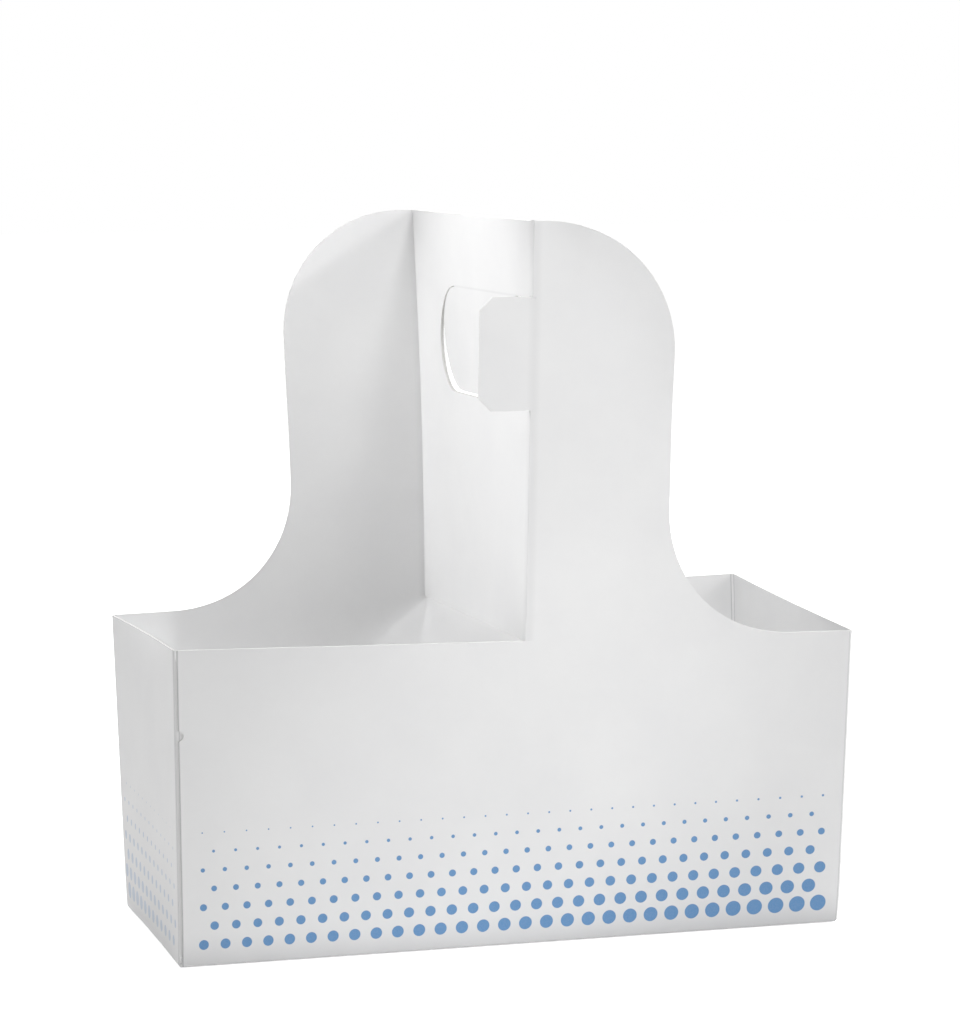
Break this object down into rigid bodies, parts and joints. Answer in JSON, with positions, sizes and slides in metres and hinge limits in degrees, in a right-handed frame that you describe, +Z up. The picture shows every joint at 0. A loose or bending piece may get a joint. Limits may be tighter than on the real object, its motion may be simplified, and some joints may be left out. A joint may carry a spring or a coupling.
{
  "type": "cup carrier",
  "caption": "Open folded paperboard tray for takeaway cups, with a raised cross panel that has a flapped hand hole as its grip.",
  "frame": {"origin": "middle of the base's underside, where the carrier stands", "axes": "+Z up, +X along the long leaning panels towards the right end as seen from the front, +Y from the front panel to the back panel"},
  "size_m": [0.2, 0.1232, 0.2112],
  "materials": {
    "board": "matte"
  },
  "bodies": {
    "root": {"carrier": "board"}
  },
  "joints": []
}
